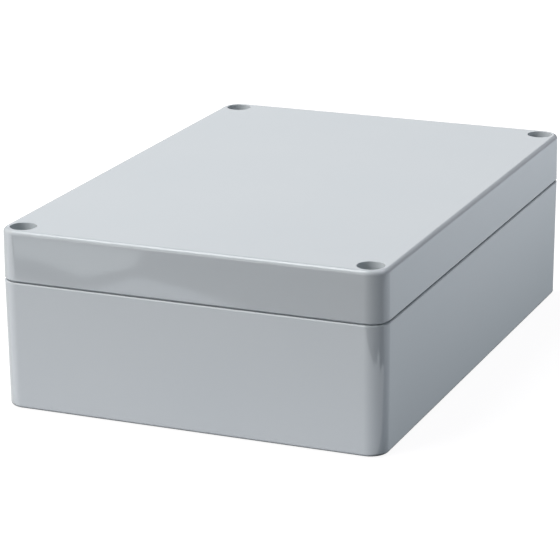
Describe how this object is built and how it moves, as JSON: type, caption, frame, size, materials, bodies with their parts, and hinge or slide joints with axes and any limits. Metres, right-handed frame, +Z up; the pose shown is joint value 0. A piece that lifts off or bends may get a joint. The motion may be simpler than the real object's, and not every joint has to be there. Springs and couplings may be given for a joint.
{
  "type": "plastic project box",
  "caption": "Sealed rectangular plastic enclosure: a deep base and a shallow screwed-down lid with a gasket, for housing electronics.",
  "frame": {"origin": "centre of the underside", "axes": "+Z up towards the lid, +Y along the long side towards the back, +X along the short side to the right"},
  "size_m": [0.121, 0.171, 0.055],
  "materials": {
    "moulded_abs": "injection-moulded light grey ABS, satin, with a fine even moulded grain",
    "gasket_rubber": "soft dark grey sealing rubber",
    "screw_steel": "bright stainless steel, turned and pressed",
    "washer_nylon": "natural nylon",
    "insert_brass": "turned brass with knurled bands"
  },
  "bodies": {
    "base": {"base": "moulded_abs", "threaded_insert_front_left": "insert_brass", "threaded_insert_front_right": "insert_brass", "threaded_insert_back_left": "insert_brass", "threaded_insert_back_right": "insert_brass"},
    "lid": {"lid": "moulded_abs", "gasket": "gasket_rubber"},
    "washer_front_left": {"sealing_washer_front_left": "washer_nylon"},
    "screw_front_left": {"lid_screw_front_left": "screw_steel"},
    "washer_front_right": {"sealing_washer_front_right": "washer_nylon"},
    "screw_front_right": {"lid_screw_front_right": "screw_steel"},
    "washer_back_left": {"sealing_washer_back_left": "washer_nylon"},
    "screw_back_left": {"lid_screw_back_left": "screw_steel"},
    "washer_back_right": {"sealing_washer_back_right": "washer_nylon"},
    "screw_back_right": {"lid_screw_back_right": "screw_steel"}
  },
  "joints": [
    {"name": "lid_lift", "type": "slide", "parent": "base", "child": "lid", "axis": [0, 0, 1], "range_m": [0, 0.06]},
    {"name": "screw_rise_front_left", "type": "slide", "parent": "lid", "child": "washer_front_left", "axis": [0, 0, 1], "range_m": [0, 0.009]},
    {"name": "screw_turn_front_left", "type": "hinge", "parent": "washer_front_left", "child": "screw_front_left", "pos_m": [-0.0545, -0.0795, 0.0465], "axis": [0, 0, 1], "range_deg": [0, 4629]},
    {"name": "screw_rise_front_right", "type": "slide", "parent": "lid", "child": "washer_front_right", "axis": [0, 0, 1], "range_m": [0, 0.009]},
    {"name": "screw_turn_front_right", "type": "hinge", "parent": "washer_front_right", "child": "screw_front_right", "pos_m": [0.0545, -0.0795, 0.0465], "axis": [0, 0, 1], "range_deg": [0, 4629]},
    {"name": "screw_rise_back_left", "type": "slide", "parent": "lid", "child": "washer_back_left", "axis": [0, 0, 1], "range_m": [0, 0.009]},
    {"name": "screw_turn_back_left", "type": "hinge", "parent": "washer_back_left", "child": "screw_back_left", "pos_m": [-0.0545, 0.0795, 0.0465], "axis": [0, 0, 1], "range_deg": [0, 4629]},
    {"name": "screw_rise_back_right", "type": "slide", "parent": "lid", "child": "washer_back_right", "axis": [0, 0, 1], "range_m": [0, 0.009]},
    {"name": "screw_turn_back_right", "type": "hinge", "parent": "washer_back_right", "child": "screw_back_right", "pos_m": [0.0545, 0.0795, 0.0465], "axis": [0, 0, 1], "range_deg": [0, 4629]}
  ],
  "couplings": [
    {"joint": "screw_turn_front_left", "follows": "screw_rise_front_left", "rad_per_m": 8976},
    {"joint": "screw_turn_front_right", "follows": "screw_rise_front_right", "rad_per_m": 8976},
    {"joint": "screw_turn_back_left", "follows": "screw_rise_back_left", "rad_per_m": 8976},
    {"joint": "screw_turn_back_right", "follows": "screw_rise_back_right", "rad_per_m": 8976}
  ]
}
